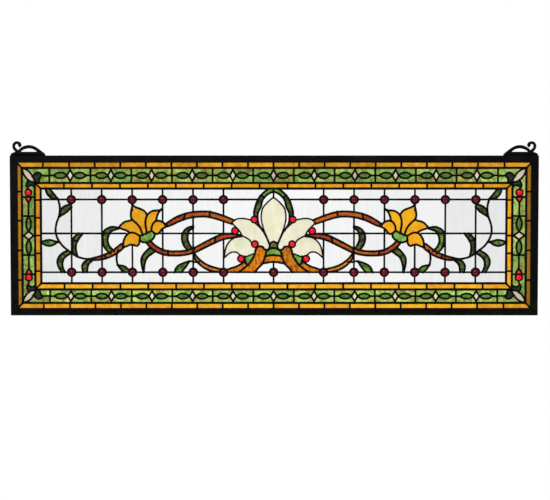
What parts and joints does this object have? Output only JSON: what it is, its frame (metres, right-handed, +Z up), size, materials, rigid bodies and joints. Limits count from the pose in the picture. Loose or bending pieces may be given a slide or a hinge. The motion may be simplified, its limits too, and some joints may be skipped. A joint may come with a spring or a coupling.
{
  "type": "stained glass window",
  "caption": "Long low stained glass window in a black metal channel frame with scroll hangers for hooks: vine, lilies and palmette in a clear field with amber and green borders.",
  "frame": {"origin": "midway between the two hangers, at the height of the crown of their eyes, where hooks bear, and in the middle of the panel's depth", "axes": "+X along the panel, to the right seen from the front; -Y out of the front face; +Z up"},
  "size_m": [0.838, 0.01, 0.2766],
  "materials": {
    "frame_black": "satin black patina on a zinc channel",
    "hanger_black": "satin black cast metal",
    "solder_black": "black patina on rounded solder",
    "amber_glass": "streaky translucent",
    "green_glass": "mottled translucent",
    "leaf_glass": "streaky translucent",
    "cream_glass": "opalescent",
    "orange_glass": "streaky opalescent",
    "olive_glass": "streaky translucent",
    "jewel_red": "pressed, domed, glossy",
    "clear_glass": "clear, vertically rippled"
  },
  "bodies": {
    "root": {"base_arch": "orange_glass", "base_comma_left": "orange_glass", "base_comma_right": "orange_glass", "bud": "olive_glass", "calyx_left": "leaf_glass", "calyx_right": "leaf_glass", "centre_petal": "cream_glass", "crescent": "leaf_glass", "field_glass": "clear_glass", "frame_rail_bottom": "frame_black", "frame_rail_left": "frame_black", "frame_rail_right": "frame_black", "frame_rail_top": "frame_black", "green_border_bottom": "green_glass", "green_border_left": "green_glass", "green_border_right": "green_glass", "green_border_top": "green_glass", "hanger_left": "hanger_black", "hanger_right": "hanger_black", "inner_amber_bottom": "amber_glass", "inner_amber_left": "amber_glass", "inner_amber_right": "amber_glass", "inner_amber_top": "amber_glass", "outer_amber_bottom": "amber_glass", "outer_amber_left": "amber_glass", "outer_amber_right": "amber_glass", "outer_amber_top": "amber_glass", "petal_inner_high_left": "amber_glass", "petal_inner_high_right": "amber_glass", "petal_inner_low_left": "amber_glass", "petal_inner_low_right": "amber_glass", "petal_outer_high_left": "amber_glass", "petal_outer_high_right": "amber_glass", "petal_outer_low_left": "amber_glass", "petal_outer_low_right": "amber_glass", "petal_top_left": "amber_glass", "petal_top_right": "amber_glass", "side_leaf_left": "leaf_glass", "side_leaf_right": "leaf_glass", "side_petal_high_left": "cream_glass", "side_petal_high_right": "cream_glass", "side_petal_low_left": "cream_glass", "side_petal_low_right": "cream_glass", "solder_lattice": "solder_black"}
  },
  "joints": []
}
